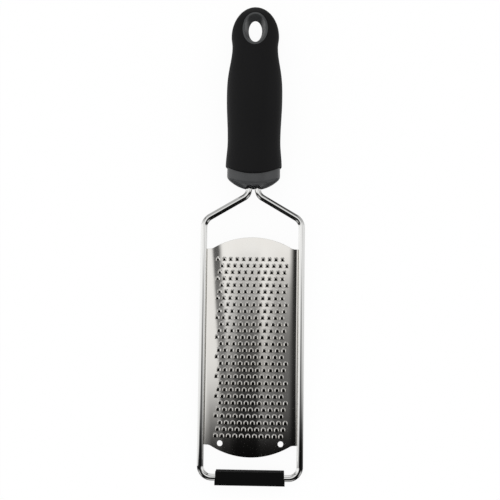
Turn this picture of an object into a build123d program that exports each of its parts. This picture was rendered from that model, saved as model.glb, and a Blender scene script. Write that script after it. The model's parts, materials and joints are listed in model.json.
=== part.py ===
"""Hand rasp with a bent wire frame, an arched grating plate and a soft handle.

The tool lies on its back on a table: +Z is up and is the side that grates,
+Y runs from the foot to the handle and X runs across. All sizes are in
millimetres. Each piece is drawn flat, with the middle of the wire frame in
the plane Z = 0, and then the whole tool is laid down on its handle and foot.
"""
import os
from math import atan2, cos, degrees, pi, radians, sin, tan

from build123d import *

# Wire frame: one round wire, bent in one plane
wire_diameter = 4.0
frame_width = 64.8
rail_length = 157.7
shoulder_slope_deg = 30.4
neck_gap = 1.4
corner_radius = 7.0
shoulder_radius = 7.5
neck_radius = 6.5
neck_length = 3.0
tail_length = 58.0
tail_spread = 3.0
tail_spread_run = 9.0
tail_hook_run = 14.0
tail_radius = 12.0

# Grating plate: thin sheet, arched across, its long edges curled on the rails
sheet = 0.5
plate_side_length = 120.2
plate_low_margin = 19.7
plate_rise = 3.3
plate_edge_height = 0.3
plate_cap_height = 7.0
plate_ledge = 3.3

# Grating teeth: punched holes with a raised rim, in rows that step sideways
tooth_pitch = 4.0
row_pitch = 4.0
teeth_in_row = 11
tooth_rows = 28
row_step_shares = (-1 / 3, 1 / 3, 0)
tooth_base_diameter = 2.8
tooth_rim_diameter = 2.0
tooth_height = 0.85
tooth_rake_deg = 14.0
tooth_hole_diameter = 1.3
pattern_offset = 1.0

# Two plain holes near the plate's low corners
tooling_hole_diameter = 3.5
tooling_hole_spacing = 37.2
tooling_hole_height = 1.2

# Foot: rubber sleeve on the crossbar, with a slightly longer sole
foot_length = 41.8
foot_height = 8.2
foot_depth = 9.2
foot_rounding = 0.9
sole_height = 2.8
sole_overhang = 0.4

# Handle outline, from the nose's tip to the top of the head
handle_length = 116.9
lip_width = 35.1
lip_depth = 23.4
waist_width = 33.1
waist_depth = 22.4
belly_width = 35.0
belly_depth = 24.0
neck_width = 28.8
neck_depth = 17.0
head_width = 30.1
head_depth = 15.6
head_rise = 19.4
lip_share = 0.120
waist_share = 0.262
belly_share = 0.500
neck_share = 0.776
taper_lean = 1.4

# Nose: the end of the rigid core, domed, with a collar under the grip's lip
dome_radius = 22.5
collar_band = 5.5
collar_inset = 1.0
collar_cover = 3.0
collar_rounding = 1.2
lip_rounding = 0.5
mouth_clearance = 0.5
mouth_depth = 1.4

# Soft grip over the core, and the core's eyelet round the hanging hole
grip_wall = 2.6
eyelet_width = 16.0
eyelet_height = 21.8
eyelet_rim = 1.4
eyelet_drop = 15.6
funnel_height = 4.8
throat_width = 8.4
throat_height = 13.2

# One overrun serves every cut
overrun = 2.0

wire_radius = wire_diameter / 2
rail_x = frame_width / 2 - wire_radius
leg_x = neck_gap / 2 + wire_radius
shoulder_y = rail_length
neck_y = shoulder_y + (rail_x - leg_x) * tan(radians(shoulder_slope_deg))
nose_y = neck_y + neck_length
top_y = nose_y + handle_length
head_y = top_y - head_rise


def wire_path():
    """Centre line of the wire, from one end inside the handle to the other."""
    spread_y = nose_y + tail_length - tail_hook_run
    half = [
        (leg_x + tail_spread, nose_y + tail_length),
        (leg_x + tail_spread, spread_y),
        (leg_x, spread_y - tail_spread_run),
        (leg_x, neck_y),
        (rail_x, shoulder_y),
        (rail_x, 0),
    ]
    points = half + [(-x, y) for x, y in reversed(half)]
    bends = [tail_radius, tail_radius, neck_radius, shoulder_radius, corner_radius]
    return FilletPolyline(*points, radius=bends + bends[::-1])


def make_wire_frame():
    """Round wire swept along its bent centre line."""
    path = wire_path()
    start = Plane(origin=path @ 0, z_dir=path % 0)
    return sweep(start * Circle(wire_radius), path=path)


plate_low_y = plate_low_margin
plate_mid_y = plate_low_y + plate_side_length / 2
arch_half_chord = rail_x - wire_radius
arch_radius = (arch_half_chord**2 + plate_rise**2) / (2 * plate_rise)
arch_centre_z = plate_edge_height + plate_rise - arch_radius
cap_half_chord = arch_half_chord - plate_ledge
cap_radius = (cap_half_chord**2 + plate_cap_height**2) / (2 * plate_cap_height)


def plate_section():
    """Arched sheet with a curl under each rail, drawn across the tool."""
    arch = Circle(arch_radius) - Circle(arch_radius - sheet)
    window_height = 2 * (plate_rise + sheet)
    arch_window = Pos(0, plate_edge_height + plate_rise) * Rectangle(2 * arch_half_chord, 2 * window_height)
    section = Pos(0, arch_centre_z) * arch & arch_window
    curl_radius = wire_radius + sheet
    curl_window_height = curl_radius + plate_edge_height
    curl = Circle(curl_radius) - Circle(wire_radius)
    curl_window = Pos(-curl_radius / 2, (plate_edge_height - curl_radius) / 2)
    curl = curl & curl_window * Rectangle(curl_radius, curl_window_height)
    right_curl = Pos(rail_x, 0) * curl
    return section + right_curl + mirror(right_curl, about=Plane.YZ)


def plate_outline():
    """Straight sides, short ledges at the corners and an arc at each end."""
    side_half = plate_side_length / 2
    middle = Rectangle(frame_width, plate_side_length)
    cap = Pos(0, side_half + plate_cap_height - cap_radius) * Circle(cap_radius)
    cap = cap & Pos(0, side_half + plate_cap_height / 2) * Rectangle(2 * cap_half_chord, plate_cap_height)
    return middle + cap + mirror(cap, about=Plane.XZ)


def on_arch(across, along):
    """Place on the outer face of the arch, its Z axis square to the sheet."""
    turn = degrees(across / arch_radius)
    return Pos(0, along, arch_centre_z) * Rot(0, turn, 0) * Pos(0, 0, arch_radius)


def tooth_places():
    """Places of all teeth, row by row from the handle's end of the plate."""
    places = []
    for row in range(tooth_rows):
        along = plate_mid_y - pattern_offset + ((tooth_rows - 1) / 2 - row) * row_pitch
        step = row_step_shares[row % len(row_step_shares)]
        for column in range(teeth_in_row):
            across = (column - (teeth_in_row - 1) / 2 + step) * tooth_pitch
            places.append(on_arch(across, along))
    return places


def make_tooth():
    """Raised rim of one tooth, higher on the handle's side."""
    root = sheet / 2
    full_height = root + tooth_height
    rim = Pos(0, 0, full_height / 2 - root) * Cone(
        tooth_base_diameter / 2, tooth_rim_diameter / 2, full_height
    )
    rake = Pos(0, tooth_rim_diameter / 2, tooth_height) * Rot(tooth_rake_deg, 0, 0)
    reach = 3 * tooth_base_diameter
    above = Pos(0, 0, tooth_height / 2) * Box(reach, reach, tooth_height)
    return rim - rake * above


def make_grating_plate():
    """Arched sheet with its teeth fused on and all holes cut."""
    section = Plane.XZ * plate_section()
    longest = plate_side_length / 2 + plate_cap_height + overrun
    arched = Pos(0, plate_mid_y, 0) * extrude(section, amount=longest, both=True)
    outline = Pos(0, plate_mid_y, 0) * extrude(plate_outline(), amount=frame_width / 2, both=True)
    plate = arched & outline
    places = tooth_places()
    tooth = make_tooth()
    plate = plate.fuse(*[place * tooth for place in places])
    drill = Cylinder(tooth_hole_diameter / 2, 2 * (sheet + tooth_height))
    plate = plate.cut(*[place * drill for place in places])
    tooling_drill = Cylinder(tooling_hole_diameter / 2, 2 * (sheet + tooth_height))
    tooling_y = plate_low_y + tooling_hole_height
    sides = [-tooling_hole_spacing / 2, tooling_hole_spacing / 2]
    return plate.cut(*[on_arch(side, tooling_y) * tooling_drill for side in sides])


def make_foot(wire_frame):
    """Rubber block with the crossbar through its middle."""
    block = Box(foot_length, foot_height, foot_depth)
    sole_y = (sole_height - foot_height) / 2
    sole = Pos(0, sole_y, 0) * Box(foot_length + 2 * sole_overhang, sole_height, foot_depth)
    block = fillet(block.edges().filter_by(Axis.Z) + block.edges().filter_by(Axis.X), foot_rounding)
    sole = fillet(sole.faces().sort_by(Axis.Y)[0].edges(), foot_rounding)
    return block + sole - wire_frame


def station(along, width, depth, inset):
    """One oval cross-section of the handle."""
    plane = Plane(origin=(0, along, 0), x_dir=(1, 0, 0), z_dir=(0, 1, 0))
    return plane * Ellipse(width / 2 - inset, depth / 2 - inset)


def handle_body(inset):
    """Smooth handle through its oval sections, its skin moved in by inset.

    Between two knots the size runs along a half wave. A lean over 1 keeps
    it near the first knot for longer, as on the taper from belly to neck.
    """
    knots = [
        (nose_y + lip_share * handle_length, lip_width, lip_depth, 1),
        (nose_y + waist_share * handle_length, waist_width, waist_depth, 1),
        (nose_y + belly_share * handle_length, belly_width, belly_depth, taper_lean),
        (nose_y + neck_share * handle_length, neck_width, neck_depth, 1),
        (head_y, head_width, head_depth, 1),
    ]
    sections = [station(nose_y, lip_width, lip_depth, inset)]
    sections.append(station(nose_y + lip_share * handle_length / 2, lip_width, lip_depth, inset))
    for (y0, width0, depth0, lean), (y1, width1, depth1, _) in zip(knots, knots[1:]):
        for part in (0, 1 / 4, 1 / 2, 3 / 4):
            blend = (1 - cos(pi * part**lean)) / 2
            width = width0 + blend * (width1 - width0)
            depth = depth0 + blend * (depth1 - depth0)
            sections.append(station(y0 + part * (y1 - y0), width, depth, inset))
    rise = head_rise - inset
    for turn_deg in (0, 20, 40, 58, 72, 82):
        shrink = cos(radians(turn_deg))
        along = head_y + rise * sin(radians(turn_deg))
        half_width = (head_width / 2 - inset) * shrink
        half_depth = (head_depth / 2 - inset) * shrink
        sections.append(station(along, 2 * half_width, 2 * half_depth, 0))
    sections.append(Vertex(0, head_y + rise, 0))
    return loft(sections)


def beyond_dome(tip_y):
    """All that lies outside a dome whose lowest point is at tip_y."""
    block_width = 2 * (lip_width + overrun)
    centre_y = tip_y + dome_radius
    block_length = centre_y - nose_y + overrun
    block = Pos(0, centre_y - block_length / 2, 0) * Box(block_width, block_length, block_width)
    return block - Pos(0, centre_y, 0) * Sphere(dome_radius)


def make_mouth():
    """Shallow recess where the two wire ends leave the nose."""
    radius = wire_radius + mouth_clearance
    outline = Plane.XZ * SlotOverall(2 * (leg_x + radius), 2 * radius)
    return Pos(0, nose_y + mouth_depth, 0) * extrude(outline, amount=mouth_depth + overrun)


def make_hole():
    """Hanging hole, a funnel from each face down to the narrow throat."""
    mouth = Pos(0, 0, funnel_height) * Ellipse(eyelet_width / 2 - eyelet_rim, eyelet_height / 2 - eyelet_rim)
    throat = Ellipse(throat_width / 2, throat_height / 2)
    upper = loft([throat, mouth]) + extrude(mouth, amount=neck_depth)
    return Pos(0, top_y - eyelet_drop, 0) * (upper + mirror(upper, about=Plane.XY))


def eyelet_boss():
    """Oval boss of the core that shows as a ring round the hanging hole."""
    boss = extrude(Ellipse(eyelet_width / 2, eyelet_height / 2), amount=head_depth, both=True)
    return Pos(0, top_y - eyelet_drop, 0) * boss


def make_nose():
    """Domed end of the core, with the collar that the grip's lip covers."""
    collar_end = nose_y + collar_band + dome_radius / 2 + collar_cover
    collar_section = station(nose_y, lip_width, lip_depth, collar_inset)
    nose = extrude(collar_section, amount=collar_end - nose_y) - beyond_dome(nose_y)
    dome_edge = nose.edges().sort_by(Axis.Y)[0]
    return fillet(dome_edge, collar_rounding)


def make_core_blank(skin):
    """Core before its hole and sockets: nose, spine and eyelet in one."""
    spine = handle_body(grip_wall) - beyond_dome(nose_y + collar_rounding)
    return make_nose() + spine + (eyelet_boss() & skin)


def make_handle_core(blank, wire_frame):
    """Rigid core with the hanging hole and the sockets of the wire ends."""
    return blank - make_hole() - make_mouth() - wire_frame


def make_soft_grip(skin, blank):
    """Soft skin over the core, open at the nose and round the eyelet."""
    grip = skin - beyond_dome(nose_y + collar_band)
    lip_edge = grip.edges().sort_by(Axis.Y)[0]
    return fillet(lip_edge, lip_rounding) - blank


def lowest(piece, tilt_deg):
    """Lowest point of a piece once the tool is tilted about X."""
    return (Rot(tilt_deg, 0, 0) * piece).bounding_box().min.Z


def lay_down(pieces):
    """Place that rests handle and foot on Z = 0 with the origin mid-length."""
    arm = nose_y + belly_share * handle_length + foot_height / 2
    tilt_deg = 0
    for _ in range(4):
        gap = lowest(pieces["foot"], tilt_deg) - lowest(pieces["soft_grip"], tilt_deg)
        tilt_deg = tilt_deg + degrees(atan2(gap, arm))
    tilted = Rot(tilt_deg, 0, 0)
    boxes = [(tilted * piece).bounding_box() for piece in pieces.values()]
    low_y = min(box.min.Y for box in boxes)
    high_y = max(box.max.Y for box in boxes)
    low_z = min(box.min.Z for box in boxes)
    middle_y = (low_y + high_y) / 2
    print("tilt", round(tilt_deg, 4), "middle y", round(middle_y, 4), "lift z", round(-low_z, 4))
    return Pos(0, -middle_y, -low_z) * tilted


wire_frame = make_wire_frame()
skin = handle_body(0)
blank = make_core_blank(skin)
pieces = {
    "wire_frame": wire_frame,
    "grating_plate": make_grating_plate(),
    "handle_core": make_handle_core(blank, wire_frame),
    "soft_grip": make_soft_grip(skin, blank),
    "foot": make_foot(wire_frame),
}

os.makedirs("parts", exist_ok=True)
laid = lay_down(pieces)
for name, piece in pieces.items():
    export_step(laid * piece, os.path.join("parts", name + ".step"))
    print(name, "volume", round(piece.volume, 1))
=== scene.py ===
# %% [markdown]
# # A hand rasp zester, piece by piece
#
# The tool has five pieces: a bent stainless wire, an arched plate of punched teeth, a rigid grey core, the
# soft black grip moulded over it and a rubber foot. This notebook builds each one as it is made in the
# workshop, gives it its finish, and then lights it as a photographer would light polished steel.
#
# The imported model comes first. It holds the true place of every piece, and the rest is fitted to it.

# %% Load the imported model
import json
from math import asin, atan2, copysign, cos, pi, radians, sin, sqrt, tan

import bmesh
import bpy
from mathutils import Matrix, Vector

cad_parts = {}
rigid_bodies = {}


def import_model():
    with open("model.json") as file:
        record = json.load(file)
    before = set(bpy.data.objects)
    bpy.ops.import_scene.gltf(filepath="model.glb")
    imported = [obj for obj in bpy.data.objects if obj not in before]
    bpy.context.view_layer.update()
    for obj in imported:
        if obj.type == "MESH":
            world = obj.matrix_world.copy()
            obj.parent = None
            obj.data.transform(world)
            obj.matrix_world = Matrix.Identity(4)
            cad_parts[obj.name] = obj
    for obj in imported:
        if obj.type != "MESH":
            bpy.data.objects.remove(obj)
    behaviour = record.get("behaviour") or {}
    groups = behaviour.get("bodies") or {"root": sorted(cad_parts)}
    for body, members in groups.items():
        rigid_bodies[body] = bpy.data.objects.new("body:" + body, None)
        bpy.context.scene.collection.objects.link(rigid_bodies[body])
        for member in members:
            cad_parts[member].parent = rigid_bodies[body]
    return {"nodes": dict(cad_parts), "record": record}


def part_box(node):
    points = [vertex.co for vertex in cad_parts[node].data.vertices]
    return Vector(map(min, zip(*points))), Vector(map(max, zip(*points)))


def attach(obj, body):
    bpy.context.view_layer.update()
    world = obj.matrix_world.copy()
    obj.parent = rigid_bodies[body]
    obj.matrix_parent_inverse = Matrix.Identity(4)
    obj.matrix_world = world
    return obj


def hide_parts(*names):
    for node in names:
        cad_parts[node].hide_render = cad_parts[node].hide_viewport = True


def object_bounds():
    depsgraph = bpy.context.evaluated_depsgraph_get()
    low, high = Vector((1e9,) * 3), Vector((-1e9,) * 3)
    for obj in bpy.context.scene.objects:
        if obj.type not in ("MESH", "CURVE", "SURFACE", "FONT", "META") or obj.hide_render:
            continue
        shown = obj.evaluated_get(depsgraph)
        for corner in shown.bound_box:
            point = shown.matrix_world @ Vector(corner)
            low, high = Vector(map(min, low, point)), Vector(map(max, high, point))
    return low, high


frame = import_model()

for leftover in [thing for thing in bpy.context.scene.objects if thing.name in ("Cube", "Light", "Camera")]:
    bpy.data.objects.remove(leftover)
cad_low, cad_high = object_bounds()
cad_size = cad_high - cad_low
print("nodes", sorted(frame["nodes"]), "size in mm", [round(1000 * side, 1) for side in cad_size])

# %% [markdown]
# ## One drawing plane for the whole tool
#
# The wire frame is bent in one flat plane, so it is easiest to draw everything on that plane in
# millimetres: X runs across, Y from the foot to the handle, and Z is 0 at the middle of the wire. The real
# tool then lies on its handle and its foot, a little tilted. The foot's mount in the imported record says
# exactly how: it gives the middle of the foot's end face and the direction in which that face looks. One
# matrix made from it lays every finished mesh down, so that the objects themselves stay at the origin.

# %% The matrix that lays the drawing down
mm = 0.001
foot_height = 8.2
foot_end = next(mount for mount in frame["record"]["mounts"] if mount["name"] == "foot_end")
out_of_foot = Vector(foot_end["axis"])
tilt = atan2(-out_of_foot.z, -out_of_foot.y)
foot_end_place = Matrix.Translation(foot_end["pos_m"]) @ Matrix.Rotation(tilt, 4, "X")
lay_down = foot_end_place @ Matrix.Scale(mm, 4) @ Matrix.Translation((0, foot_height / 2, 0))
print("tilt in degrees", round(tilt * 180 / pi, 4))

# %% [markdown]
# ## From a bmesh to a piece
#
# Every piece ends the same way. Doubled points are welded, the faces are turned outwards, the mesh is laid
# down, and edges sharper than a limit stay crisp while the rest is shaded smooth. Then the piece is hung on
# the body that carries it, and the CAD node that it stands for is hidden.

# %% Helpers that finish a piece
crease_limit = radians(35)
weld_gap = 0.001  # mm in the drawing: points nearer than this are one


def mark_creases(bm):
    """Shades faces smooth, and edges crisp that are sharper than the limit or already marked so."""
    for face in bm.faces:
        face.smooth = True
    for edge in bm.edges:
        if edge.is_manifold and edge.calc_face_angle() > crease_limit:
            edge.smooth = False


def to_object(bm, name):
    """Lays a bmesh down and makes it an object of that name."""
    bmesh.ops.recalc_face_normals(bm, faces=bm.faces)
    mark_creases(bm)
    bmesh.ops.transform(bm, matrix=lay_down, verts=bm.verts)
    mesh = bpy.data.meshes.new(name)
    bm.to_mesh(mesh)
    bm.free()
    piece = bpy.data.objects.new(name, mesh)
    bpy.context.scene.collection.objects.link(piece)
    return piece


def fit_piece(piece, node):
    """Hangs a piece on the root body, hides the CAD node it stands for and prints how far it reaches past
    that node's box.
    """
    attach(piece, "root")
    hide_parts(node)
    low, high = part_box(node)
    spare = min(min(Vector(corner) - low) for corner in piece.bound_box)
    over = max(max(Vector(corner) - high) for corner in piece.bound_box)
    print(piece.name, "faces", len(piece.data.polygons), "past the node's box in mm",
          round(max(-spare, over, 0) * 1000, 3))


def new_verts(made):
    """The points among what an operator has made."""
    return [item for item in made if isinstance(item, bmesh.types.BMVert)]


def new_edges(made):
    """The edges among what an operator has made."""
    return [item for item in made if isinstance(item, bmesh.types.BMEdge)]


def circle_edges(bm, segments, radius, matrix):
    """A new circle's edges."""
    made = bmesh.ops.create_circle(bm, segments=segments, radius=radius, matrix=matrix)
    return list({edge for vert in made["verts"] for edge in vert.link_edges})


def grow(bm, ring, labels, place):
    """Extrudes a ring whose points carry labels; place tells where a new point goes from its label."""
    made = bmesh.ops.extrude_edge_only(bm, edges=ring)["geom"]
    fresh = {}
    for vert in new_verts(made):
        old = next(edge.other_vert(vert) for edge in vert.link_edges if edge.other_vert(vert) in labels)
        fresh[vert] = labels[old]
    for vert, label in fresh.items():
        vert.co = place(label)
    return new_edges(made), fresh


def push(bm, ring, step):
    """Extrudes an open ring of edges by one step and returns the new ring."""
    made = bmesh.ops.extrude_edge_only(bm, edges=ring)["geom"]
    bmesh.ops.translate(bm, verts=new_verts(made), vec=step)
    return new_edges(made)


def add_mirror_image(bm, axis, gap=weld_gap):
    """Completes half a piece with its mirror image and welds the two."""
    half = list(bm.faces) + list(bm.edges) + list(bm.verts)
    bmesh.ops.mirror(bm, geom=half, axis=axis, merge_dist=gap)
    bmesh.ops.remove_doubles(bm, verts=bm.verts, dist=gap)


def fill_ends(bm):
    """Closes whatever is still open."""
    bmesh.ops.holes_fill(bm, edges=[edge for edge in bm.edges if edge.is_boundary], sides=0)


print("edges sharper than", round(crease_limit * 180 / pi), "degrees stay crisp")

# %% [markdown]
# ## The wire frame
#
# The frame is one round stainless wire, 4 mm thick. Its two ends sit side by side in the handle, bend
# apart at the neck, run down two diagonals to the shoulders, and become the rails that meet in the
# crossbar at the foot.
#
# A curve with a round bevel would give the same tube in fewer lines. Here the mesh is made as a wire
# bender works: a ring of edges is pushed straight on, then spun round the centre of each bend. Every bend
# then has its true radius, and the rings are dense only where the wire turns. Half of the frame is made
# that way and the other half is its mirror image.

# %% Sizes of the wire frame
wire_radius = 2.0
rail_x = 30.4
leg_x = 2.7
shoulder_y = 157.7
shoulder_slope = radians(30.4)
neck_y = shoulder_y + (rail_x - leg_x) * tan(shoulder_slope)
neck_length, tail_length, hook_length, spread_length = 3.0, 58.0, 14.0, 9.0
nose_y = neck_y + neck_length
tail_end_y = nose_y + tail_length
tail_spread = 3.0
hook_y = tail_end_y - hook_length
spread_y = hook_y - spread_length
tail_bend, neck_bend, shoulder_bend, corner_bend = 12.0, 6.5, 7.5, 7.0
wire_sides = 40
bend_step = radians(5)
print("frame", 2 * (rail_x + wire_radius), "mm wide, its neck at", round(neck_y, 1), "mm")

# %% Bend the wire
def bend(bm, ring, centre, turn):
    """Spins an open ring round the centre of a bend and returns the new ring."""
    steps = max(2, round(abs(turn) / bend_step))
    spun = bmesh.ops.spin(bm, geom=ring, cent=centre, axis=(0, 0, 1), dvec=(0, 0, 0),
                          angle=turn, steps=steps)
    return new_edges(spun["geom_last"])


def follow(bm, ring, corners, bends):
    """Takes a ring along corners that are rounded with the given bends."""
    at = corners[0]
    for corner, after, radius in zip(corners[1:], corners[2:], bends):
        heading = (corner - at).normalized()
        leaving = (after - corner).normalized()
        turn = atan2(heading.cross(leaving).z, heading.dot(leaving))
        setback = radius * tan(abs(turn) / 2)
        bend_start = corner - heading * setback
        ring = push(bm, ring, bend_start - at)
        inwards = Vector((-heading.y, heading.x, 0)) * copysign(radius, turn)
        ring = bend(bm, ring, bend_start + inwards, turn)
        at = corner + leaving * setback
    return push(bm, ring, corners[-1] - at)


def make_wire_frame():
    """Half of the wire from its end in the handle to the crossbar's middle, then mirrored."""
    corners = [Vector((leg_x + tail_spread, tail_end_y, 0)), Vector((leg_x + tail_spread, hook_y, 0)),
               Vector((leg_x, spread_y, 0)), Vector((leg_x, neck_y, 0)), Vector((rail_x, shoulder_y, 0)),
               Vector((rail_x, 0, 0)), Vector((0, 0, 0))]
    bends = [tail_bend, tail_bend, neck_bend, shoulder_bend, corner_bend]
    bm = bmesh.new()
    start = Matrix.Translation(corners[0]) @ Matrix.Rotation(pi / 2, 4, "X")
    ring = circle_edges(bm, wire_sides, wire_radius, start)
    bmesh.ops.contextual_create(bm, geom=ring)
    follow(bm, ring, corners, bends)
    add_mirror_image(bm, "X", 2 * weld_gap)
    return to_object(bm, "wire_frame_look")


wire_frame = make_wire_frame()
fit_piece(wire_frame, "wire_frame")

# %% [markdown]
# ## The grating plate: one tooth
#
# The plate is a 0.5 mm stainless sheet. A press pushes a pointed punch through it from behind, leaning
# towards the handle, and each tooth is the little crater that the punch leaves. Seen from above the crater
# is a horseshoe: a round shoulder on the handle's side with two straight legs, low and open towards the
# foot. The hole leans too, so from above nobody looks straight through it: it shows its own wall, and
# that wall wears painted shade, which is what makes the holes look black.
#
# A displacement texture could fake the craters, but their shoulders are what shines, so they are real
# mesh. The shape is repeated 308 times, so it has only five bands of twelve faces. It carries the square
# of sheet around it, cut at the same thirds of a tooth pitch as the plain sheet, so copies and sheet weld
# without a seam even though the rows step sideways by a third of the pitch.

# %% Sizes of the plate and its teeth
sheet = 0.5
pitch = 4.0
cell = pitch / 3
teeth_in_row, tooth_rows = 11, 28
row_steps = (-cell, cell, 0)
tooth_sides = 12
pattern_y = 79.0
low_share = 0.04  # height left at the open side
leg_power = 0.15  # 1 would be a round foot side, 0 a square one
tooth_rings = [  # radius, middle along the plate and height
    ("base", 1.42, 0.6, 0),
    ("shoulder", 0.98, 0.32, 0.45),
    ("lip", 0.76, 0.02, 0.42),
    ("back", 0.55, -1.3, -sheet),
]


def tooth_point(turn, radius, middle, height):
    """A point of a horseshoe ring: half a circle towards the handle, straight legs, low at the foot."""
    power = 1 if sin(turn) > 0 else leg_power
    across = copysign(abs(cos(turn)) ** power, cos(turn))
    along = copysign(abs(sin(turn)) ** power, sin(turn))
    share = low_share if height > 0 and sin(turn) < -1 / 2 else 1
    return Vector((across * radius, middle + along * radius, height * share))


def make_tooth_cell():
    """One crater with its square of sheet, top and back."""
    bm = bmesh.new()
    bmesh.ops.create_grid(bm, x_segments=3, y_segments=3, size=pitch / 2)
    inner = [vert for vert in bm.verts if max(abs(vert.co.x), abs(vert.co.y)) < pitch / 2 - cell / 2]
    bmesh.ops.delete(bm, geom=inner, context="VERTS")
    step = 2 * pi / tooth_sides
    turns = {vert: (round(atan2(vert.co.y, vert.co.x) / step - 1 / 2) + 1 / 2) * step for vert in bm.verts}
    corners = {turn: vert.co.xy for vert, turn in turns.items()}
    ring = list(bm.edges)
    for name, radius, middle, height in tooth_rings:
        before = set(bm.faces)
        ring, turns = grow(bm, ring, turns, lambda turn: tooth_point(turn, radius, middle, height))
        for edge in ring:
            edge.smooth = False
        # The faces grown to the back ring are the hole's wall; slot 1 gives them the painted shade of the
        # holes.
        for face in set(bm.faces) - before:
            face.material_index = int(name == "back")
    before = set(bm.faces)
    grow(bm, ring, turns, lambda turn: Vector((*corners[turn], -sheet)))
    for face in set(bm.faces) - before:
        face.material_index = 0
    print("one tooth has", len(bm.faces), "faces")
    return bm


# %% [markdown]
# ## The grating plate: the sheet
#
# The plate is laid out flat first, as its blank would be. A grid of thirds of the pitch covers the toothed
# field. Its sides are pushed out for the folds and the curls that hold the rails, and its ends are pushed
# out to the blank's outline: an arc between two short ledges. The faces under each tooth are taken out and
# the craters are dropped in. Last, the open outline of the top is bridged to that of the back, which gives
# the sheet its thickness, and its edges are broken a little, as deburring does.
#
# Only then is the blank bent. Each point goes to its place on the arch, over the fold or round the rail,
# according to how far across the blank it lies. That keeps every tooth square to the sheet.

# %% Sizes of the sheet
plate_rise, plate_low_y, plate_high_y = 3.6, 19.7, 139.9
cap_height, ledge = 7.0, 3.3
chord = rail_x - wire_radius
fold_radius, rail_gap = 0.8, 0.02
fold_x = chord - fold_radius
arch_radius = (fold_x**2 + plate_rise**2 - fold_radius**2) / (2 * (plate_rise - fold_radius))
arch_turn = asin(fold_x / (arch_radius - fold_radius))
arch_arc = arch_radius * arch_turn
fold_arc = fold_radius * (pi / 2 - arch_turn)
curl_arc = wire_radius * pi / 2
fold_steps, curl_steps, end_steps = 4, 6, 4
cap_chord = chord - ledge
cap_radius = (cap_chord**2 + cap_height**2) / (2 * cap_height)
field_half = tooth_rows * pitch / 2
tooling_x, tooling_radius = 18.6, 1.75
tooling_row = 1.43
deburr = 0.1
print("arch radius", round(arch_radius, 1), "half arc", round(arch_arc, 2))
print("end arcs", round(cap_radius, 1))


def outline_reach(across):
    """How far the blank's end goes past its straight sides, at a place across it."""
    reach = arch_radius * sin(min(abs(across), arch_arc) / arch_radius)
    if reach > cap_chord:
        return 0
    return cap_height - cap_radius + sqrt(cap_radius**2 - reach**2)


def bent(point):
    """Takes a point of the flat blank to its place on the bent plate."""
    across, along, lift = point
    reach = abs(across)
    if reach <= arch_arc:
        turn = reach / arch_radius
        x = (arch_radius + lift) * sin(turn)
        z = plate_rise - arch_radius + (arch_radius + lift) * cos(turn)
    elif reach <= arch_arc + fold_arc:
        turn = arch_turn + (reach - arch_arc) / fold_radius
        x = fold_x + (fold_radius + lift) * sin(turn)
        z = (fold_radius + lift) * cos(turn)
    else:
        turn = (reach - arch_arc - fold_arc) / wire_radius
        x = rail_x - (wire_radius + rail_gap - lift) * cos(turn)
        z = -(wire_radius + rail_gap - lift) * sin(turn)
    return Vector((copysign(x, across), along, z))


# %% Lay out the blank
def open_edges(bm, test):
    """The open edges whose both ends pass a test."""
    return [edge for edge in bm.edges if edge.is_boundary and all(test(vert.co) for vert in edge.verts)]


def make_blank():
    """The plain sheet's top, flat, from curl to curl and from end to end."""
    columns = 2 * int(arch_arc / cell - 1 / 2) + 1
    bm = bmesh.new()
    spread = Matrix.Diagonal((columns * cell, 2 * field_half, 1, 1))
    field = Matrix.Translation((0, pattern_y, 0)) @ spread
    bmesh.ops.create_grid(bm, x_segments=columns, y_segments=3 * tooth_rows, size=1 / 2, matrix=field)
    steps = [arch_arc - columns * cell / 2] + [fold_arc / fold_steps] * fold_steps
    steps = steps + [curl_arc / curl_steps] * curl_steps
    for side in (-1, 1):
        edge_x = side * columns * cell / 2
        ring = open_edges(bm, lambda place: abs(place.x - edge_x) < cell / 2)
        for step in steps:
            ring = push(bm, ring, (side * step, 0, 0))
    for end in (-1, 1):
        field_y = pattern_y + end * field_half
        side_y = plate_high_y if end > 0 else plate_low_y
        ring = open_edges(bm, lambda place: abs(place.y - field_y) < cell / 2)
        for number in range(1, end_steps + 1):
            made = bmesh.ops.extrude_edge_only(bm, edges=ring)["geom"]
            for vert in new_verts(made):
                depth = abs(side_y - field_y) + outline_reach(vert.co.x)
                share = number / end_steps
                step = depth if number == end_steps else min(number * tooling_row, depth * share)
                vert.co.y = field_y + end * step
            ring = new_edges(made)
    print("blank of", len(bm.faces), "faces")
    return bm


def faces_under(bm, centre, half_x, half_y):
    """The flat faces whose middles lie in a window."""
    found = []
    for face in bm.faces:
        middle = face.calc_center_median()
        if abs(middle.x - centre[0]) < half_x and abs(middle.y - centre[1]) < half_y:
            found.append(face)
    return found


# %% [markdown]
# Each row of teeth steps sideways by a third of the pitch: left, right, middle, and so on. So the same
# list of rows tells which faces of the blank to take out and where the craters go.

# %% Punch, bridge and bend the plate
def row_places():
    """Middle of every tooth on the flat blank, row by row from the handle's end."""
    rows = []
    for row in range(tooth_rows):
        along = pattern_y + field_half - (row + 1 / 2) * pitch
        step = row_steps[row % len(row_steps)]
        places = [(column - (teeth_in_row - 1) / 2) * pitch + step for column in range(teeth_in_row)]
        rows.append([(across, along) for across in places])
    return rows


def open_rows(bm):
    """Takes out the faces of the blank where the teeth will be."""
    gone = []
    for row in row_places():
        middle_x = (row[0][0] + row[-1][0]) / 2
        gone = gone + faces_under(bm, (middle_x, row[0][1]), teeth_in_row * pitch / 2, pitch / 2)
    bmesh.ops.delete(bm, geom=gone, context="FACES")


def add_teeth(bm):
    """Drops a copy of the crater into every opening."""
    crater = make_tooth_cell()
    mesh = bpy.data.meshes.new("one_tooth")
    for row in row_places():
        for across, along in row:
            crater.transform(Matrix.Translation((across, along, 0)))
            crater.to_mesh(mesh)
            bm.from_mesh(mesh)
            crater.transform(Matrix.Translation((-across, -along, 0)))
    crater.free()
    bpy.data.meshes.remove(mesh)


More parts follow.
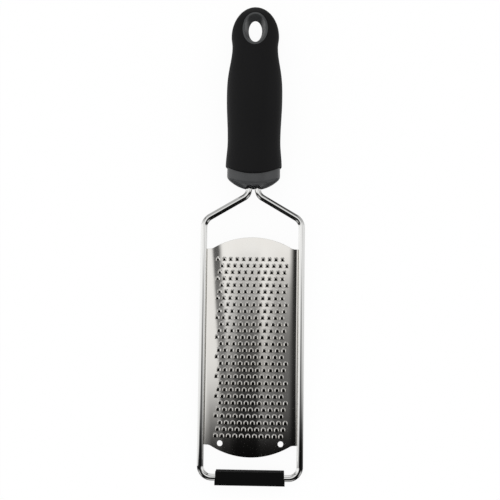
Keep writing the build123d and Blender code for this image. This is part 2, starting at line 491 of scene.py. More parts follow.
def drill_tooling_hole(bm, centre):
    """Takes a block of faces out of the blank and draws its border in to a round hole."""
    before = {edge for edge in bm.edges if edge.is_boundary}
    block = faces_under(bm, centre, pitch / 2, 3 * tooling_row / 2)
    bmesh.ops.delete(bm, geom=block, context="FACES")
    border = [edge for edge in bm.edges if edge.is_boundary and edge not in before]
    rim = new_edges(bmesh.ops.extrude_edge_only(bm, edges=border)["geom"])
    bmesh.ops.subdivide_edges(bm, edges=rim, cuts=1)
    for edge in bm.edges:
        if edge.is_boundary and edge not in before:
            for vert in edge.verts:
                vert.co = centre + (vert.co - centre).normalized() * tooling_radius


def make_grating_plate():
    """Blank, holes, teeth, thickness and bend, in the order of the press shop."""
    bm = make_blank()
    holes = [Vector((side * tooling_x, pattern_y - field_half - 3 * tooling_row / 2, 0)) for side in (-1, 1)]
    for centre in holes:
        drill_tooling_hole(bm, centre)
    open_rows(bm)
    back = bmesh.ops.duplicate(bm, geom=list(bm.verts) + list(bm.edges) + list(bm.faces))["geom"]
    bmesh.ops.translate(bm, verts=new_verts(back), vec=(0, 0, -sheet))
    add_teeth(bm)
    bmesh.ops.remove_doubles(bm, verts=bm.verts, dist=sheet / 50)
    for centre in holes:
        rims = open_edges(bm, lambda place: (place.xy - centre.xy).length < tooling_radius + deburr)
        bmesh.ops.bridge_loops(bm, edges=rims)
    outline = [edge for edge in bm.edges if edge.is_boundary]
    bmesh.ops.bridge_loops(bm, edges=outline)
    bmesh.ops.recalc_face_normals(bm, faces=bm.faces)
    broken = bmesh.ops.bevel(bm, geom=outline, offset=deburr, offset_type="OFFSET", segments=2, profile=0.5,
                             affect="EDGES", material=-1)
    for face in broken["faces"]:
        for edge in face.edges:
            edge.smooth = False
    for vert in bm.verts:
        vert.co = bent(vert.co)
    return to_object(bm, "grating_plate_look")


grating_plate = make_grating_plate()
fit_piece(grating_plate, "grating_plate")

# %% [markdown]
# ## The handle's shape
#
# The handle is oval in section everywhere. It is fullest at the lip by the nose and in the palm, drawn in
# a little at the waist between them, narrow at the neck behind the hanging hole, and ends in half an egg.
# Grip and core share this shape, so it is one function: how wide and how deep the handle is at a place
# along it. Between two knots the size runs along half a wave, which leaves no corner anywhere.

# %% Sizes of the handle
handle_length = 116.9
top_y = nose_y + handle_length
head_rise = 19.4
head_y = top_y - head_rise
sections = [  # share of the length, width, depth and lean of the wave from here
    (0.120, 35.1, 23.4, 1),
    (0.262, 33.1, 22.4, 1),
    (0.500, 35.0, 24.0, 1.4),
    (0.776, 28.8, 17.0, 1),
]
head_width, head_depth = 30.1, 15.6
knots = [(nose_y + share * handle_length, width / 2, depth / 2, lean)
         for share, width, depth, lean in sections]
knots.append((head_y, head_width / 2, head_depth / 2, 1))
handle_sides = 96
print("handle from", round(nose_y, 1), "to", round(top_y, 1), "mm")


def half_size(along, inset=0):
    """Half width and half depth of the handle at a place along it, less an inset."""
    if along <= knots[0][0]:
        return knots[0][1] - inset, knots[0][2] - inset
    if along >= head_y:
        shrink = sqrt(max(0, 1 - ((along - head_y) / (head_rise - inset)) ** 2))
        return (knots[-1][1] - inset) * shrink, (knots[-1][2] - inset) * shrink
    for (y0, width0, depth0, lean), (y1, width1, depth1, _) in zip(knots, knots[1:]):
        if along <= y1:
            blend = (1 - cos(pi * ((along - y0) / (y1 - y0)) ** lean)) / 2
            return width0 + blend * (width1 - width0) - inset, depth0 + blend * (depth1 - depth0) - inset


def skin_height(x, y):
    """Height of the handle's skin over the drawing plane."""
    half_width, half_depth = half_size(y)
    return half_depth * sqrt(max(0, 1 - (x / half_width) ** 2))


# %% [markdown]
# The nose ends in a shallow dome, part of a ball 45 mm across. The grip's lip is cut by the same ball,
# moved back along the handle, and because the handle is oval that cut shows from the front as a smile.
#
# A tube with a ring of points at each station gives both the grip and the core. `tube` extrudes a ring of
# edges from station to station, and a function tells where each point of a ring goes.

# %% A tube from stations
dome_radius = 22.5


def dome(x, z):
    """How far a ball's surface has fallen back at a place off its axis."""
    return dome_radius - sqrt(max(0, dome_radius**2 - x**2 - z**2))


def tube(bm, stations, place):
    """Extrudes a ring of edges through all stations; place puts a unit direction on a station."""
    ring = circle_edges(bm, handle_sides, 1, Matrix.Rotation(pi / 2, 4, "X"))
    directions = {vert: (vert.co.x, vert.co.z) for edge in ring for vert in edge.verts}
    for vert, direction in directions.items():
        vert.co = place(direction, stations[0])
    for station in stations[1:]:
        ring, directions = grow(bm, ring, directions, lambda direction: place(direction, station))


def close_poles(bm):
    """Closes the two ends of a tube."""
    bmesh.ops.remove_doubles(bm, verts=bm.verts, dist=weld_gap)
    fill_ends(bm)


print("the lip falls back", round(dome(knots[0][1], 0), 1), "mm at its sides")

# %% [markdown]
# ## The soft grip
#
# The grip is a rubber skin, 2.6 mm thick, moulded over the core. It is closed over the head, open at the
# nose, and has an oval window on each face where the core's eyelet comes through.
#
# It is one tube that starts inside at the head, runs down the inside of the skin to the lip, turns round
# it and comes back up the outside. Stations near the lip are draped over the ball, further up they lie
# square to the handle, and the head's stations are spaced by angle so that the egg stays round. The
# windows are cut with a Boolean modifier, because an oval cut through a curved skin is just what it is
# good at, and the tube is dense enough that the cut leaves no mark in the shading.

# %% Build the grip's skin
grip_wall, collar_inset, collar_band, collar_cover = 2.6, 1.0, 5.5, 3.0
lip_rounding = 0.85
drape_end_y = nose_y + handle_length / 4
drape_steps, palm_steps, head_steps = 14, 44, 16
inner_palm_steps, inner_head_steps = 20, 8
seat_share, seat_step = 0.15, 0.01  # how far up the drape the skin sits on the collar
tip_share = 0.9995


def grip_place(direction, station):
    """A grip station is a drape share from 0 at the lip to 1, a place along the handle, and an inset."""
    drape, along, inset = station
    lip_x, lip_z = direction[0] * knots[0][1], direction[1] * knots[0][2]
    lip_y = nose_y + collar_band + dome(lip_x, lip_z)
    y = lip_y + drape * (along - lip_y)
    half_width, half_depth = half_size(y, inset)
    return Vector((direction[0] * half_width, y, direction[1] * half_depth))


def head_stations(inset, count):
    """Places along the head, spaced by angle, up to just short of its tip."""
    rise = head_rise - inset
    places = [head_y + rise * sin(pi / 2 * number / count) for number in range(1, count)]
    return places + [head_y + rise * tip_share]


def make_grip_skin():
    """Closed skin of the grip, before its windows are cut."""
    outside = [(number / drape_steps, drape_end_y, 0) for number in range(drape_steps + 1)]
    step = (head_y - drape_end_y) / palm_steps
    outside = outside + [(1, drape_end_y + step * number, 0) for number in range(1, palm_steps + 1)]
    outside = outside + [(1, along, 0) for along in head_stations(0, head_steps)]
    inside = [(1, along, grip_wall) for along in reversed(head_stations(grip_wall, inner_head_steps))]
    step = (head_y - drape_end_y) / inner_palm_steps
    inside = inside + [(1, head_y - step * number, grip_wall) for number in range(inner_palm_steps + 1)]
    inside = inside + [(1 / 2, drape_end_y, grip_wall), (seat_share + seat_step, drape_end_y, grip_wall)]
    inside = inside + [(seat_share, drape_end_y, collar_inset), (0, drape_end_y, collar_inset)]
    bm = bmesh.new()
    tube(bm, inside + outside, grip_place)
    close_poles(bm)
    lip = [edge for edge in bm.edges if on_lip(edge)]
    bmesh.ops.bevel(bm, geom=lip, offset=lip_rounding, offset_type="OFFSET", segments=4, profile=0.5,
                    affect="EDGES", material=-1)
    return to_object(bm, "soft_grip_look")


def on_lip(edge):
    """Whether an edge is the outer rim of the lip."""
    for vert in edge.verts:
        rim = grip_place((vert.co.x / knots[0][1], vert.co.z / knots[0][2]), (0, drape_end_y, 0))
        if (rim - vert.co).length > lip_rounding / 50:
            return False
    return True


soft_grip = make_grip_skin()
print("skin of", len(soft_grip.data.polygons), "faces before its windows are cut")

# %% Cut the windows of the eyelet
eyelet_drop = 15.6
eyelet_y = top_y - eyelet_drop
eyelet_width, eyelet_height = 16.0, 21.8
eyelet_sides = 96
cutter_reach = 30.0


def oval_bar(name, inset):
    """A solid oval bar along Z, as wide as the eyelet less an inset, that serves as a cutter."""
    half_width, half_height = eyelet_width / 2 - inset, eyelet_height / 2 - inset
    bm = bmesh.new()
    oval = Matrix.Diagonal((half_width, half_height, 1, 1))
    ring = circle_edges(bm, eyelet_sides, 1, Matrix.Translation((0, eyelet_y, -cutter_reach)) @ oval)
    push(bm, ring, (0, 0, 2 * cutter_reach))
    fill_ends(bm)
    return to_object(bm, name)


def combine(piece, other, operation):
    """Cuts another closed shape away from a piece, or joins it, and removes it."""
    boolean = piece.modifiers.new("combine", "BOOLEAN")
    boolean.operation = operation
    boolean.solver = "EXACT"
    boolean.object = other
    depsgraph = bpy.context.evaluated_depsgraph_get()
    cut = bpy.data.meshes.new_from_object(piece.evaluated_get(depsgraph))
    piece.modifiers.clear()
    old, piece.data = piece.data, cut
    name = old.name
    bpy.data.meshes.remove(old)
    cut.name = name
    bpy.data.objects.remove(other)
    bm = bmesh.new()
    bm.from_mesh(cut)
    mark_creases(bm)
    bm.to_mesh(cut)
    bm.free()


combine(soft_grip, oval_bar("window_cutter", 0), "DIFFERENCE")
fit_piece(soft_grip, "soft_grip")

# %% [markdown]
# ## The rigid core
#
# The core is grey plastic. From outside it shows as the domed nose with its collar, and as the eyelet
# round the hanging hole. Between them it is a spine hidden in the grip. The wire was laid in the mould
# before the plastic was shot, and it leaves the nose through a deep recess that is taller than the wire,
# with both wires side by side in it.
#
# The nose and the spine are again a tube: rings grow over the dome, turn at its rounded edge, run up the
# collar, and follow the inside of the grip up to the head's tip.

# %% Build the nose and the spine
collar_rounding = 1.2
collar_rings = 9.0, 12.0
collar_end = collar_band + dome_radius / 2 + collar_cover
dome_steps, spine_steps, spine_head_steps = 10, 20, 12
pole_share = 0.003


def core_place(direction, station):
    """A core station is a share of the dome, a place along the collar or spine, and an inset."""
    share, along, inset = station
    half_width, half_depth = half_size(along, inset)
    x = direction[0] * half_width * share
    z = direction[1] * half_depth * share
    y = nose_y + dome(x, z) if along < nose_y + weld_gap else along
    return Vector((x, y, z))


def make_nose_and_spine():
    """Dome, collar and spine in one tube."""
    shares = [pole_share] + [number / dome_steps for number in range(1, dome_steps + 1)]
    stations = [(share, nose_y, collar_inset) for share in shares]
    stations = stations + [(1, nose_y + along, collar_inset) for along in (*collar_rings, collar_end)]
    spine_y = nose_y + collar_end
    step = (head_y - spine_y) / spine_steps
    stations = stations + [(1, spine_y + step * number, grip_wall) for number in range(spine_steps + 1)]
    stations = stations + [(1, along, grip_wall) for along in head_stations(grip_wall, spine_head_steps)]
    bm = bmesh.new()
    tube(bm, stations, core_place)
    close_poles(bm)
    dome_edge = [edge for edge in bm.edges if on_dome_edge(edge)]
    bmesh.ops.bevel(bm, geom=dome_edge, offset=collar_rounding, offset_type="OFFSET", segments=5,
                    profile=0.5, affect="EDGES", material=-1)
    return to_object(bm, "handle_core_look")


def on_dome_edge(edge):
    """Whether an edge is the rim where the dome meets the collar."""
    half_width, half_depth = knots[0][1] - collar_inset, knots[0][2] - collar_inset
    for vert in edge.verts:
        around = (vert.co.x / half_width) ** 2 + (vert.co.z / half_depth) ** 2
        off_dome = abs(vert.co.y - nose_y - dome(vert.co.x, vert.co.z))
        if abs(around - 1) > weld_gap or off_dome > weld_gap:
            return False
    return True


handle_core = make_nose_and_spine()
print("nose and spine of", len(handle_core.data.polygons), "faces")

# %% Cut the recess of the wires
mouth_clearance, mouth_depth, mouth_stretch = 0.4, 2.6, 3.5
mouth_run_out = 3.2


def mouth_cutter():
    """A bar with round ends, as wide as the two wires side by side and deeper than they are."""
    radius = wire_radius + mouth_clearance
    bm = bmesh.new()
    turned = Matrix.Translation((leg_x, nose_y + mouth_depth, 0)) @ Matrix.Rotation(pi / 2, 4, "X")
    ring = circle_edges(bm, wire_sides, radius, turned)
    push(bm, ring, (0, -mouth_run_out - mouth_depth, 0))
    fill_ends(bm)
    for vert in bm.verts:
        vert.co.z *= mouth_stretch
        if vert.co.x < leg_x - weld_gap:
            vert.co.x = 0
    inner = [face for face in bm.faces if all(abs(vert.co.x) < weld_gap for vert in face.verts)]
    bmesh.ops.delete(bm, geom=inner, context="FACES")
    add_mirror_image(bm, "X")
    return to_object(bm, "mouth_cutter")


combine(handle_core, mouth_cutter(), "DIFFERENCE")
mouth_height = 2 * (wire_radius + mouth_clearance) * mouth_stretch
print("recess", mouth_depth, "mm deep and", round(mouth_height, 1), "mm high")

# %% [markdown]
# ## The eyelet
#
# The eyelet lines the hanging hole. Its outer wall stands in the window of the grip, its face follows the
# skin, and its rim is rounded on both sides, so that a fine groove is left along the rubber. Inside, the
# wall drops straight for a moment and then narrows like a funnel to the throat in the middle.
#
# It is the same tube of stations, this time with its rings lying across the hole. Half of it is made and
# then mirrored to the other face of the handle. The core gets a hole that the eyelet fills, and a Boolean
# union makes the two one moulding, as they are in the real tool.

# %% Build the eyelet
eyelet_rim, rim_rounding, funnel_height = 1.4, 0.3, 4.8
throat_width, throat_height = 8.4, 13.2
seam, overlap = 0.03, 0.5
rim_steps = 3


def eyelet_place(direction, station):
    """An eyelet station is the half width and half height of its oval, and a rule that gives its height."""
    half_width, half_height, level = station
    x, y = direction[0] * half_width, eyelet_y + direction[1] * half_height
    return Vector((x, y, level(skin_height(x, y))))


def rim_profile():
    """Inset from the outer wall and drop below the skin of each ring over the rim."""
    outside, inside = [], []
    for number in range(rim_steps + 1):
        turn = pi / 2 * number / rim_steps
        low, high = rim_rounding * (1 - sin(turn)), rim_rounding * (1 - cos(turn))
        outside.append((high, low))
        inside.append((eyelet_rim - low, high))
    return outside + inside


def make_eyelet():
    """Closed wall of the eyelet, from face to face."""
    outer_width, outer_height = eyelet_width / 2 - seam, eyelet_height / 2 - seam
    stations = [(outer_width, outer_height, lambda skin: 0)]
    for inset, drop in rim_profile():
        stations.append((outer_width - inset, outer_height - inset, lambda skin, drop=drop: skin - drop))
    stations.append((outer_width - eyelet_rim, outer_height - eyelet_rim, lambda skin: funnel_height))
    stations.append((throat_width / 2, throat_height / 2, lambda skin: 0))
    bm = bmesh.new()
    tube(bm, stations, eyelet_place)
    add_mirror_image(bm, "Z")
    print("eyelet of", len(bm.faces), "faces")
    return to_object(bm, "eyelet")


# %% Join nose, spine and eyelet
combine(handle_core, oval_bar("eye_cutter", overlap), "DIFFERENCE")
combine(handle_core, make_eyelet(), "UNION")
fit_piece(handle_core, "handle_core")

# %% [markdown]
# ## The foot
#
# The foot is a black rubber sleeve on the crossbar. Its sole, the part that grips the board, is a little
# longer than the rest. A rubber block like this is a plain box with soft edges, so a cube is cut where the
# sole begins, the sole's ends are pushed out, and all outer edges are rounded.

# %% Build the foot
foot_length, foot_depth, sole_height, sole_overhang = 41.8, 9.2, 2.8, 0.4
foot_rounding = 0.9


def make_foot():
    """Rubber block with a slightly longer sole."""
    bm = bmesh.new()
    bmesh.ops.create_cube(bm, size=1, matrix=Matrix.Diagonal((foot_length, foot_height, foot_depth, 1)))
    sole_top = sole_height - foot_height / 2
    bmesh.ops.bisect_plane(bm, geom=list(bm.faces) + list(bm.edges) + list(bm.verts), dist=weld_gap,
                           plane_co=(0, sole_top, 0), plane_no=(0, 1, 0))
    for side in (-1, 1):
        sole = [face for face in bm.faces if face.calc_center_median().y < sole_top]
        ends = [face for face in sole if face.normal.x * side > 1 / 2]
        made = bmesh.ops.extrude_face_region(bm, geom=ends)["geom"]
        bmesh.ops.translate(bm, verts=new_verts(made), vec=(side * sole_overhang, 0, 0))
        bmesh.ops.delete(bm, geom=ends, context="FACES_ONLY")
    outer = [edge for edge in bm.edges if edge.calc_face_angle(0) > crease_limit]
    bmesh.ops.bevel(bm, geom=outer, offset=foot_rounding, offset_type="OFFSET", segments=5, profile=0.5,
                    affect="EDGES", clamp_overlap=True, material=-1)
    return to_object(bm, "foot_look")


foot = make_foot()
fit_piece(foot, "foot")

# %% [markdown]
# ## Colours and nodes
#
# Colours are written as a maker would quote them, in sRGB hex, and turned to the linear values that the
# renderer works with. One small function adds a shader node, sets it up and links it.

# %% Colour and node helpers
def linear(hex_colour):
    """Linear RGBA of an sRGB hex colour."""
    parts = [int(hex_colour[place:place + 2], 16) / 255 for place in (1, 3, 5)]
    return [part / 12.92 if part <= 0.04045 else ((part + 0.055) / 1.055) ** 2.4 for part in parts] + [1]


def add_node(tree, kind, inputs=(), **settings):
    """Adds a node; inputs maps a socket to a value or to another node's output."""
    node = tree.nodes.new(kind)
    for name, value in settings.items():
        setattr(node, name, value)
    for socket, value in dict(inputs).items():
        if isinstance(value, bpy.types.NodeSocket):
            tree.links.new(value, node.inputs[socket])
        else:
            node.inputs[socket].default_value = value
    return node


def new_material(name):
    """An empty material, its node tree and the output node."""
    material = bpy.data.materials.new(name)
    material.use_nodes = True
    material.node_tree.nodes.clear()
    return material, material.node_tree, add_node(material.node_tree, "ShaderNodeOutputMaterial")


white = "#ffffff"
print("middle grey #808080 is", round(linear("#808080")[0], 3), "in linear light")

# %% [markdown]
# ## Polished stainless wire
#
# Drawn stainless wire, polished bright after bending. It mirrors its surroundings almost sharply. A plain
# mirror shader would draw those lines with a ruler, so a noise 6 mm wide bends the normals a little, as
# the polishing wheel leaves the surface.

# %% Polished stainless wire
wave_width, wave_height = 6.0, 0.02


def polished_stainless():
    """Bright polished steel with faint waves from the polishing wheel."""
    material, tree, output = new_material("polished_stainless_wire")
    place = add_node(tree, "ShaderNodeTexCoord").outputs["Object"]
    waves = add_node(tree, "ShaderNodeTexNoise", {
        "Vector": place, "Scale": 1 / (wave_width * mm), "Detail": 2})
    bump = add_node(tree, "ShaderNodeBump", {
        "Height": waves.outputs["Fac"], "Strength": 0.25, "Distance": wave_height * mm})
    steel = add_node(tree, "ShaderNodeBsdfPrincipled", {
        "Base Color": linear("#f2f2f0"), "Metallic": 1, "Roughness": 0.03, "Normal": bump.outputs["Normal"]})
    tree.links.new(steel.outputs["BSDF"], output.inputs["Surface"])
    return material


wire_frame.data.materials.append(polished_stainless())
print("polishing waves", wave_width, "mm wide and", wave_height, "mm high")

# %% [markdown]
# ## Satin stainless sheet
#
# The plate is cold-rolled stainless sheet with a satin finish. Rolling leaves a fine grain that blurs the
# reflections a little, and the welds leave a faint straw tint here and there. The real grain, about
# 0.05 mm wide, is too fine to show, so it is drawn 0.5 mm wide. It only varies the roughness: a bump as
# well would lighten the plate's black end, because a bent normal finds the bright tent from anywhere.

# %% Satin stainless sheet
tint_width, grain_width = 22.0, 0.5


def satin_stainless():
    """Rolled sheet: fine grain and a faint tint."""
    material, tree, output = new_material("satin_stainless_sheet")
    place = add_node(tree, "ShaderNodeTexCoord").outputs["Object"]
    clouds = add_node(tree, "ShaderNodeTexNoise", {
        "Vector": place, "Scale": 1 / (tint_width * mm), "Detail": 2})
    tint = add_node(tree, "ShaderNodeMix", {
        0: clouds.outputs["Fac"], 6: linear("#f2f1ee"), 7: linear("#ece8e1")}, data_type="RGBA")
    grain = add_node(tree, "ShaderNodeTexNoise", {
        "Vector": place, "Scale": 1 / (grain_width * mm), "Detail": 3})
    rough = add_node(tree, "ShaderNodeMapRange", {
        "Value": grain.outputs["Fac"], "To Min": 0.04, "To Max": 0.07})
    steel = add_node(tree, "ShaderNodeBsdfPrincipled", {
        "Base Color": tint.outputs[2], "Metallic": 1, "Roughness": rough.outputs["Result"]})
    tree.links.new(steel.outputs["BSDF"], output.inputs["Surface"])
    return material


grating_plate.data.materials.append(satin_stainless())
print("grain", grain_width, "mm and tint", tint_width, "mm wide")

# %% [markdown]
# ## Painted shade inside the holes
#
# Where the punch breaks through, the sheet tears, and the wall of each hole lies in deep shade. A shader
# that mirrored would still sparkle there, so the hole walls get a slot of their own with a dark and almost
# dull finish. That dark is painted shade, not a colour that the steel has.

# %% Painted shade inside the holes
def painted_hole_shade():
    """Painted shade on the walls inside the punched holes, dark and almost dull."""
    material, tree, output = new_material("painted_shade_hole_walls")
    steel = add_node(tree, "ShaderNodeBsdfPrincipled", {
        "Base Color": linear("#0c0c0b"), "Metallic": 0, "Roughness": 0.8, "Specular IOR Level": 0.03})
    tree.links.new(steel.outputs["BSDF"], output.inputs["Surface"])
    return material


# Slot 1 is painted shade on the hole walls, not a colour of the steel.
grating_plate.data.materials.append(painted_hole_shade())
painted_shade_faces = sum(face.material_index for face in grating_plate.data.polygons)
print("shade_painted faces", painted_shade_faces, "of", len(grating_plate.data.polygons))

# %% [markdown]
# ## Grey polypropylene
#
# The core is polypropylene with a dark grey masterbatch, shot into a mould with a fine spark-eroded skin.
# The grain breaks the gloss a little, so the nose shows broad soft bands and no sharp highlight.
#
# All three mouldings are made alike, from a colour, a gloss and the grain of their mould, so one function
# builds them. A picture of a grain could be wrapped round them, but noise in object space needs no
# unwrapping and has the same true size on every face. Real mould grain is about 0.1 mm wide, too fine to
# show, so it is drawn as coarse as 0.4 to 0.5 mm.

# %% Grey polypropylene
def moulded(name, colour, roughness, specular, grain_mm, grain_depth_mm):
    """A moulded plastic or rubber with the fine grain of its mould."""
    material, tree, output = new_material(name)
    place = add_node(tree, "ShaderNodeTexCoord").outputs["Object"]
    grain = add_node(tree, "ShaderNodeTexNoise", {
        "Vector": place, "Scale": 1 / (grain_mm * mm), "Detail": 3})
    bump = add_node(tree, "ShaderNodeBump", {
        "Height": grain.outputs["Fac"], "Strength": 1.0, "Distance": grain_depth_mm * mm})
    body = add_node(tree, "ShaderNodeBsdfPrincipled", {
        "Base Color": linear(colour), "Roughness": roughness, "Specular IOR Level": specular,
        "Normal": bump.outputs["Normal"]})
    tree.links.new(body.outputs["BSDF"], output.inputs["Surface"])
    print(name, "grain", grain_mm, "mm wide and", grain_depth_mm, "mm deep")
    return material


handle_core.data.materials.append(moulded(
    "polypropylene_core", "#404142", roughness=0.3, specular=0.42, grain_mm=0.5, grain_depth_mm=0.005))

# %% [markdown]
# ## Soft black thermoplastic rubber
#
# The grip is thermoplastic rubber with carbon black, moulded over the core in a blasted mould. Its matt
# grain spreads what little it reflects, so the skin stays nearly black with a faint lighter band along
# each flank.

# %% Soft black thermoplastic rubber
soft_grip.data.materials.append(moulded(
    "thermoplastic_rubber_grip", "#131314", roughness=0.5, specular=0.14, grain_mm=0.4, grain_depth_mm=0.01))

# %% [markdown]
# ## Black vulcanised rubber
#
# The foot is vulcanised rubber, harder and blacker than the grip. It comes from a plain mould and dusts
# over in use, so it has almost no gloss at all and reads as one black block. It is the same moulding
# shader with a duller skin.

# %% Black vulcanised rubber
foot.data.materials.append(moulded(
    "black_rubber_foot", "#0c0c0c", roughness=0.7, specular=0.05, grain_mm=0.4, grain_depth_mm=0.01))

# %% [markdown]
# ## The table
#
# The tool lies on a plain white table. Light alone would leave it grey near the tool, and more light would
# bleach the tool. So to the camera most of the table's white is its own, as on a catalogue page, and the
# rest is lit, which keeps the tool's soft shadow. Polished steel sees the tent and not the table.

# %% White table
own_white_share = 0.93
table_reach = 3.0


def make_floor():
    """White table top."""
    bm = bmesh.new()
    bmesh.ops.create_grid(bm, x_segments=1, y_segments=1, size=table_reach)
    mesh = bpy.data.meshes.new("table")
    bm.to_mesh(mesh)
    bm.free()
    table = bpy.data.objects.new("table", mesh)
    bpy.context.scene.collection.objects.link(table)
    table.visible_glossy = False
    material, tree, output = new_material("white_table")
    paint = add_node(tree, "ShaderNodeBsdfDiffuse", {"Color": linear(white)})
    glow = add_node(tree, "ShaderNodeEmission", {"Color": linear(white), "Strength": 1.0})
    path = add_node(tree, "ShaderNodeLightPath")
    seen = path.outputs["Is Camera Ray"]
    for ray in ("Is Glossy Ray", "Is Transmission Ray"):
        rays = {0: seen, 1: path.outputs[ray]}
        seen = add_node(tree, "ShaderNodeMath", rays, operation="MAXIMUM").outputs[0]
    share = add_node(tree, "ShaderNodeMath", {0: seen, 1: own_white_share}, operation="MULTIPLY")
    surface = add_node(tree, "ShaderNodeMixShader", {
        0: share.outputs[0], 1: paint.outputs["BSDF"], 2: glow.outputs["Emission"]})
    tree.links.new(surface.outputs["Shader"], output.inputs["Surface"])
    mesh.materials.append(material)
    print("table", [round(side, 1) for side in table.dimensions], "m, own white", own_white_share)


make_floor()

# %% [markdown]
# ## The light tent
#
# Polished steel has hardly a colour of its own: it shows what stands round it. A photographer builds that
# for it. Here it is a white tent. Its front, towards the foot, is a black curtain that draws the dark
# edges of the wire and leaves the plate's low end black. The opening for the camera and its stand makes a
# grey stripe down the middle, and a flag on each side darkens the arched plate towards its rails.
#
# Area lights and cards could stand round the tool, but each would also have to be kept off its diffuse
# light and its shadow. So the tent is written into the world by direction, for glossy rays alone, and all
# other rays see plain white. It is painted like cloth: panel over panel. A panel has a lean, its places
# across, on X plus lean times Y, with how much it covers there, and its brightness along Y from the foot
# to the handle. Over all panels the far wall is shaded, and grey walls are added behind the curtain, which
# only the views from behind the handle see.

# %% Light tent
tent = {
    "sides": (0, [(-1, 1), (1, 1)],
              [(-0.175, 0.005), (-0.166, 0.012), (-0.14, 0.18), (-0.105, 0.23), (-0.083, 0.37),
               (-0.053, 0.62), (-0.035, 0.78), (0.03, 0.95)]),
    "camera opening": (0, [(-0.28, 0), (-0.15, 1), (0.03, 1), (0.08, 0)],
                       [(-0.175, 0.003), (-0.163, 0.008), (-0.14, 0.03), (-0.085, 0.07), (-0.055, 0.13),
                        (-0.025, 0.26), (0, 0.48), (0.02, 0.62), (0.04, 0.95)]),
    "right side": (0, [(0.11, 0), (0.22, 1)],
                   [(-0.175, 0.005), (-0.16, 0.03), (-0.13, 0.11), (-0.09, 0.15), (-0.06, 0.18),
                    (-0.03, 0.3), (0, 0.46), (0.035, 0.93)]),
    "left flag": (0.6, [(-0.41, 0), (-0.385, 1), (-0.335, 1), (-0.3, 0)],
                  [(-0.175, 0.01), (-0.14, 0.08), (-0.08, 0.2), (0.0, 0.18), (0.035, 0.1)]),
    "left wall": (0.6, [(-0.41, 1), (-0.385, 0)],
                  [(-0.175, 0.02), (-0.164, 0.07), (-0.153, 0.14), (-0.142, 0.24), (-0.131, 0.37),
                   (-0.12, 0.51), (-0.109, 0.66), (-0.087, 0.81), (-0.066, 0.86), (0.05, 0.96)]),
    "left strip": (0.6, [(-0.55, 1), (-0.5, 0)],
                   [(-0.185, 0.01), (-0.164, 0.19), (-0.153, 0.35), (-0.142, 0.53), (-0.131, 0.68),
                    (-0.12, 0.78), (-0.1, 0.87), (0.05, 0.95)]),
    "right flag": (0, [(0.34, 0), (0.38, 1)],
                   [(-0.175, 0.004), (-0.14, 0.01), (-0.06, 0.03), (0.04, 0.02)]),
    "right wall": (0, [(0.46, 0), (0.52, 1)],
                   [(-0.175, 0.005), (-0.15, 0.05), (-0.10, 0.45), (-0.05, 0.8), (0.05, 0.93)]),
    "left end": (0, [(-0.88, 1), (-0.68, 0)], [(-0.19, 0.01), (-0.17, 0.85), (0.05, 1)]),
    "right end": (0, [(0.8, 0), (0.96, 1)],
                  [(-0.16, 0.02), (-0.145, 0.08), (-0.13, 0.19), (-0.1, 0.46), (-0.065, 0.6), (0.05, 0.7)]),
}
far_wall = [(0.22, 1), (0.5, 0.5), (0.82, 0.42), (0.9, 0.75), (0.96, 1)]
foot_wall = [(-0.96, 0.5), (-0.86, 0)]
corner_along = [(-0.5, 0.45), (-0.35, 0)]
corner_across = [(0.6, 0), (0.7, 1)]


def make_ramp(tree, value, stops):
    """A grey ramp over directions from -1 to 1."""
    share = add_node(tree, "ShaderNodeMapRange", {"Value": value, "From Min": -1, "From Max": 1})
    ramp = add_node(tree, "ShaderNodeValToRGB", {0: share.outputs["Result"]})
    while len(ramp.color_ramp.elements) < len(stops):
        ramp.color_ramp.elements.new(1 / 2)
    for element, (place, grey) in zip(ramp.color_ramp.elements, stops):
        element.position = (place + 1) / 2
        element.color = (grey, grey, grey, 1)
    return ramp.outputs["Color"]


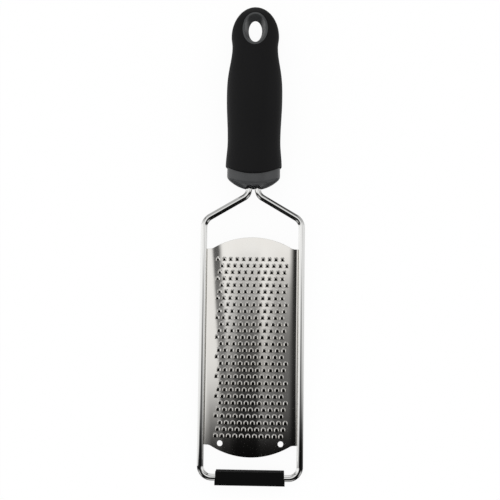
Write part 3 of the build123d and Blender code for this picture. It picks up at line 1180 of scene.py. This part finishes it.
def make_world():
    """White all round, and the tent for glossy rays."""
    world = bpy.data.worlds.new("light_tent")
    bpy.context.scene.world = world
    world.use_nodes = True
    tree = world.node_tree
    tree.nodes.clear()
    output = add_node(tree, "ShaderNodeOutputWorld")
    direction = add_node(tree, "ShaderNodeTexCoord").outputs["Generated"]
    parts = add_node(tree, "ShaderNodeSeparateXYZ", {0: direction})
    across_tent, along_tent = parts.outputs["X"], parts.outputs["Y"]
    cloth = linear(white)
    for name, (lean, across, along) in tent.items():
        leaned = add_node(tree, "ShaderNodeMath", {0: along_tent, 1: lean, 2: across_tent},
                          operation="MULTIPLY_ADD")
        place = make_ramp(tree, leaned.outputs[0], across)
        shade = make_ramp(tree, along_tent, along)
        cloth = add_node(tree, "ShaderNodeMix", {0: place, 6: cloth, 7: shade}, data_type="RGBA").outputs[2]
        print("tent panel", name, "from", along[0][1], "at the foot to", along[-1][1], "at the handle")
    aside = add_node(tree, "ShaderNodeMath", {0: across_tent}, operation="ABSOLUTE")
    corner = add_node(tree, "ShaderNodeMath", {
        0: make_ramp(tree, aside.outputs[0], corner_across),
        1: make_ramp(tree, along_tent, corner_along)}, operation="MULTIPLY")
    walls = [(make_ramp(tree, along_tent, far_wall), "MULTIPLY"),
             (make_ramp(tree, along_tent, foot_wall), "ADD"), (corner.outputs[0], "ADD")]
    for wall, blend in walls:
        cloth = add_node(tree, "ShaderNodeMix", {0: 1.0, 6: cloth, 7: wall}, data_type="RGBA",
                         blend_type=blend).outputs[2]
    path = add_node(tree, "ShaderNodeLightPath")
    colour = add_node(tree, "ShaderNodeMix", {
        0: path.outputs["Is Glossy Ray"], 6: linear(white), 7: cloth}, data_type="RGBA")
    light = add_node(tree, "ShaderNodeBackground", {"Color": colour.outputs[2], "Strength": 1.0})
    tree.links.new(light.outputs["Background"], output.inputs["Surface"])
    world.cycles.sampling_method = "NONE"


make_world()
bpy.context.scene.view_settings.view_transform = "Standard"

# %% [markdown]
# ## Camera
#
# The camera stands about 0.55 m above the plate, a little nearer to the foot than the tool's middle, and
# looks almost straight down. It could be placed by eye. Here its place and turn were found from the tooth
# rows: they are a perfect grid, so the way they close up towards one edge tells the distance, and the way
# they lean tells the turn.

# %% Set up the camera
picture_side, focal_pixels = 500, 900
grid_pixels = 6.528
pixel_mm = pitch / grid_pixels
lean_x, lean_y, lean_z = radians(-4.45), radians(-1.76), radians(-0.75)
shift_x, shift_y = 1.2, -98.1
grid_y, grid_z = 78.8, 3.4
sensor_width = 36


def make_camera():
    """A camera whose view matches the picture of the tooth grid."""
    turn = Matrix.Rotation(lean_z, 3, "Z") @ Matrix.Rotation(lean_x, 3, "X")
    back = (turn @ Matrix.Rotation(lean_y, 3, "Y")).transposed()
    eye = Vector((0, grid_y, grid_z)) - back @ Vector((shift_x, shift_y, -focal_pixels)) * pixel_mm
    data = bpy.data.cameras.new("camera")
    data.sensor_width = sensor_width
    data.lens = sensor_width * focal_pixels / picture_side
    camera = bpy.data.objects.new("camera", data)
    bpy.context.scene.collection.objects.link(camera)
    laid_turn = Matrix.Rotation(tilt, 3, "X") @ back
    camera.matrix_world = Matrix.Translation(lay_down @ eye) @ laid_turn.to_4x4()
    bpy.context.scene.camera = camera
    print("camera at", [round(value, 4) for value in camera.location], "lens", data.lens)


make_camera()
